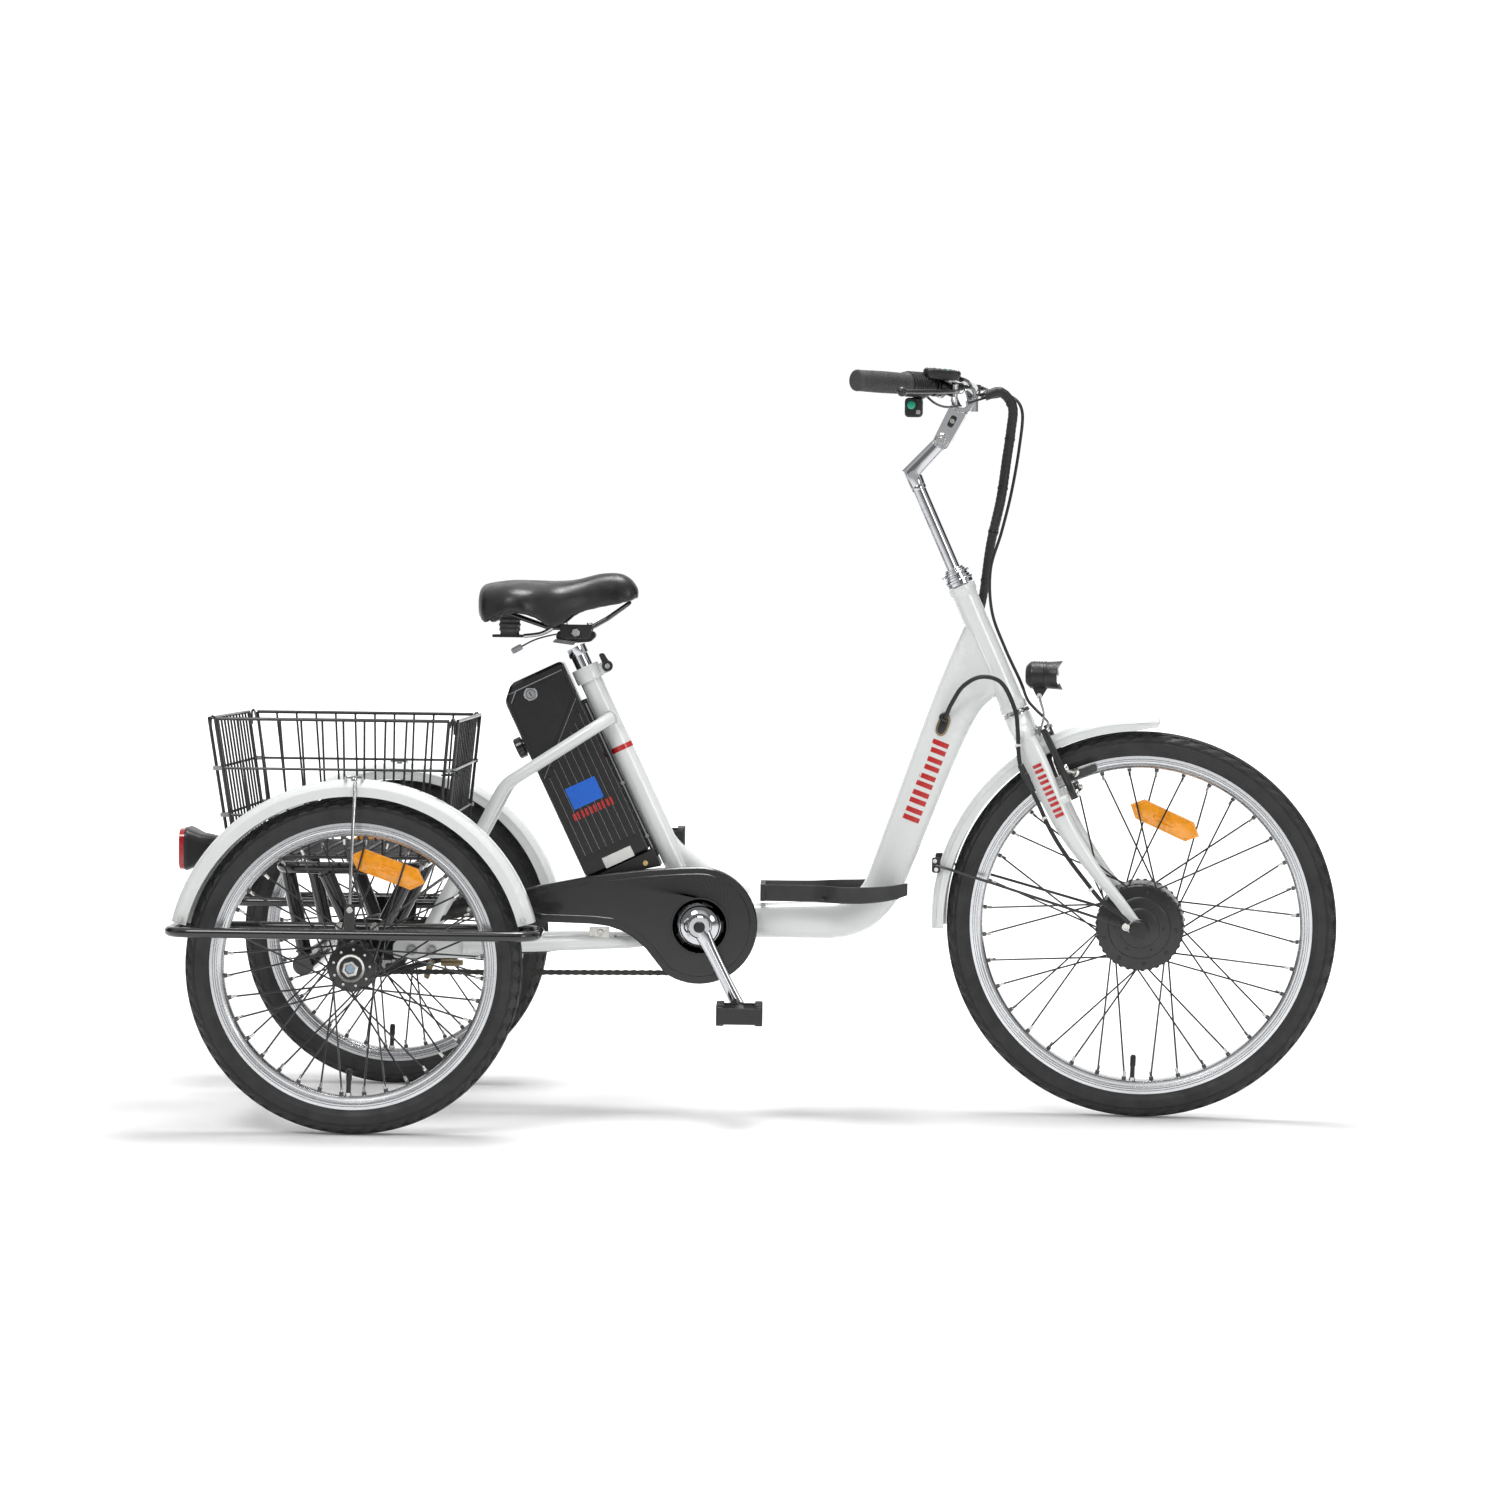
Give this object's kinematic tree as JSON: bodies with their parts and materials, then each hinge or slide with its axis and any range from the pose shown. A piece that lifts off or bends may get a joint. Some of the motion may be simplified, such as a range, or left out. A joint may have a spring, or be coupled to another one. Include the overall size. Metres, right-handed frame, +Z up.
{
  "type": "adult tricycle",
  "caption": "Electric adult tricycle with a low step-through frame, a front hub motor, a battery behind the seat tube and a wire basket between the rear wheels.",
  "frame": {"origin": "centre of the bounding box's base, on the ground under the middle of the tricycle", "axes": "+X forwards, +Y to the rider's left, +Z up"},
  "size_m": [1.7766, 0.7538, 1.1617],
  "materials": {
    "white_paint": "gloss",
    "black_paint": "gloss",
    "black_wire": "gloss",
    "chrome": "polished",
    "steel": "satin",
    "chain_steel": "satin",
    "rim_alloy": "polished",
    "black_alloy": "satin",
    "tyre_rubber": "matt",
    "grip_rubber": "matt",
    "tread_plastic": "matt",
    "black_plastic": "satin",
    "gloss_black": "gloss",
    "cable_sheath": "satin",
    "saddle_vinyl": "smooth",
    "button_green": "gloss"
  },
  "bodies": {
    "frame": {"main_frame": "white_paint", "seat_collar": "white_paint", "rear_carriage": "black_paint", "basket": "black_wire", "tail_light": "black_plastic", "footboard": "tread_plastic", "chain_case": "gloss_black", "chain": "chain_steel", "battery_dock": "black_plastic", "band_brake": "black_alloy", "motor_cable": "cable_sheath", "control_loom": "cable_sheath", "rear_fender_right": "white_paint", "rear_fender_left": "white_paint", "guard_loop_right": "black_paint", "guard_loop_left": "black_paint"},
    "seat_lever": {"seat_lever": "black_plastic"},
    "seat": {"seat_post": "chrome", "saddle_clamp": "black_alloy", "saddle_rails": "steel", "saddle": "saddle_vinyl"},
    "battery": {"battery_case": "gloss_black"},
    "battery_lock": {"battery_lock": "chrome"},
    "crank": {"chainring": "chrome", "crank_right": "chrome", "crank_left": "chrome"},
    "pedal_right": {"pedal_right": "tread_plastic"},
    "pedal_left": {"pedal_left": "tread_plastic"},
    "sprocket": {"rear_sprocket": "steel"},
    "wheel_right": {"rear_tyre_right": "tyre_rubber", "rear_rim_right": "rim_alloy", "rear_hub_right": "black_alloy", "rear_axle": "steel"},
    "wheel_left": {"rear_tyre_left": "tyre_rubber", "rear_rim_left": "rim_alloy", "rear_hub_left": "black_alloy"},
    "steering": {"fork": "white_paint", "headset_upper": "chrome", "front_fender": "white_paint", "headlight_bracket": "steel", "motor_axle": "steel", "front_brake_cable": "cable_sheath"},
    "headlight": {"headlight": "black_plastic"},
    "brake_arm_right": {"brake_arm_right": "black_alloy"},
    "brake_arm_left": {"brake_arm_left": "black_alloy"},
    "front_wheel": {"front_tyre": "tyre_rubber", "front_rim": "rim_alloy", "motor_hub": "black_alloy"},
    "stem_post": {"stem_post": "chrome"},
    "bars": {"stem_arm": "chrome", "handlebar": "chrome", "grip_left": "grip_rubber", "throttle_housing": "black_plastic", "brake_mount_right": "black_alloy", "brake_mount_left": "black_alloy", "switch_pod": "black_plastic"},
    "throttle": {"throttle_grip": "grip_rubber"},
    "brake_lever_right": {"brake_lever_right": "black_alloy"},
    "brake_lever_left": {"brake_lever_left": "black_alloy"},
    "horn_button": {"horn_button": "button_green"}
  },
  "joints": [
    {"name": "steering_turn", "type": "hinge", "parent": "frame", "child": "steering", "pos_m": [0.30786, 0, 0.8174], "axis": [-0.4107, 0, 0.9118], "range_deg": [-42, 58], "deforming": ["motor_cable", "control_loom"]},
    {"name": "front_wheel_spin", "type": "hinge", "parent": "steering", "child": "front_wheel", "pos_m": [0.59175, -0.00644, 0.29881], "axis": [0.1269, 0.9903, 0.0572], "continuous": true},
    {"name": "brake_arm_left_pivot", "type": "hinge", "parent": "steering", "child": "brake_arm_left", "pos_m": [0.48134, 0.05068, 0.49901], "axis": [0.8891, -0.1391, 0.436], "range_deg": [0, 2.5]},
    {"name": "brake_arm_right_pivot", "type": "hinge", "parent": "steering", "child": "brake_arm_right", "pos_m": [0.46763, -0.05627, 0.49283], "axis": [-0.8891, 0.1391, -0.436], "range_deg": [0, 2.5]},
    {"name": "headlight_tilt", "type": "hinge", "parent": "steering", "child": "headlight", "pos_m": [0.43127, -0.00614, 0.64982], "axis": [0.1269, 0.9903, 0.0572], "range_deg": [-8, 20]},
    {"name": "stem_height", "type": "slide", "parent": "steering", "child": "stem_post", "axis": [-0.4107, 0, 0.9118], "range_m": [-0.03, 0.04]},
    {"name": "stem_tilt", "type": "hinge", "parent": "stem_post", "child": "bars", "pos_m": [0.2771, -0.00889, 1.03974], "axis": [0.1269, 0.9903, 0.0572], "range_deg": [-15, 20]},
    {"name": "throttle_twist", "type": "hinge", "parent": "bars", "child": "throttle", "pos_m": [0.17545, -0.27498, 1.11036], "axis": [-0.7266, -0.687, -0.0035], "range_deg": [0, 70], "stiffness_Nm_per_rad": 0.12, "springref_deg": -20.05},
    {"name": "brake_lever_left_pull", "type": "hinge", "parent": "bars", "child": "brake_lever_left", "pos_m": [0.33665, 0.18613, 1.12488], "axis": [-0.0036, -0.0572, 0.9984], "range_deg": [0, 17], "stiffness_Nm_per_rad": 0.5, "springref_deg": -20.05},
    {"name": "brake_lever_right_pull", "type": "hinge", "parent": "bars", "child": "brake_lever_right", "pos_m": [0.28448, -0.22096, 1.10138], "axis": [0.0036, 0.0572, -0.9984], "range_deg": [0, 17], "stiffness_Nm_per_rad": 0.5, "springref_deg": -20.05},
    {"name": "horn_press", "type": "slide", "parent": "bars", "child": "horn_button", "axis": [0.1269, 0.9903, 0.0572], "range_m": [0, 0.0015], "stiffness_N_per_m": 400, "springref_m": -0.002},
    {"name": "seat_height", "type": "slide", "parent": "frame", "child": "seat", "axis": [-0.4305, 0, 0.9026], "range_m": [-0.008, 0.09]},
    {"name": "seat_lever_open", "type": "hinge", "parent": "frame", "child": "seat_lever", "pos_m": [-0.23366, 0, 0.687], "axis": [0, 1, 0], "range_deg": [0, 120]},
    {"name": "battery_removal", "type": "slide", "parent": "frame", "child": "battery", "axis": [-0.4305, 0, 0.9026], "range_m": [0, 0.03]},
    {"name": "battery_key_turn", "type": "hinge", "parent": "battery", "child": "battery_lock", "pos_m": [-0.34988, -0.0384, 0.64264], "axis": [0, 1, 0], "range_deg": [0, 90]},
    {"name": "crank_turn", "type": "hinge", "parent": "frame", "child": "crank", "pos_m": [-0.08633, 0, 0.292], "axis": [0, 1, 0], "continuous": true},
    {"name": "pedal_right_spin", "type": "hinge", "parent": "crank", "child": "pedal_right", "pos_m": [-0.02278, 0, 0.16726], "axis": [0, 1, 0], "continuous": true},
    {"name": "pedal_left_spin", "type": "hinge", "parent": "crank", "child": "pedal_left", "pos_m": [-0.14989, 0, 0.41674], "axis": [0, 1, 0], "continuous": true},
    {"name": "sprocket_turn", "type": "hinge", "parent": "frame", "child": "sprocket", "pos_m": [-0.58634, -0.05, 0.247], "axis": [0, 1, 0], "continuous": true},
    {"name": "wheel_right_spin", "type": "hinge", "parent": "frame", "child": "wheel_right", "pos_m": [-0.58634, -0.31, 0.247], "axis": [0, 1, 0], "continuous": true},
    {"name": "wheel_left_spin", "type": "hinge", "parent": "frame", "child": "wheel_left", "pos_m": [-0.58634, 0.31, 0.247], "axis": [0, 1, 0], "continuous": true}
  ],
  "couplings": [
    {"joint": "brake_arm_left_pivot", "follows": "brake_lever_left_pull", "ratio": 0.125},
    {"joint": "brake_arm_right_pivot", "follows": "brake_lever_left_pull", "ratio": 0.125},
    {"joint": "sprocket_turn", "follows": "crank_turn", "ratio": 2.25}
  ]
}
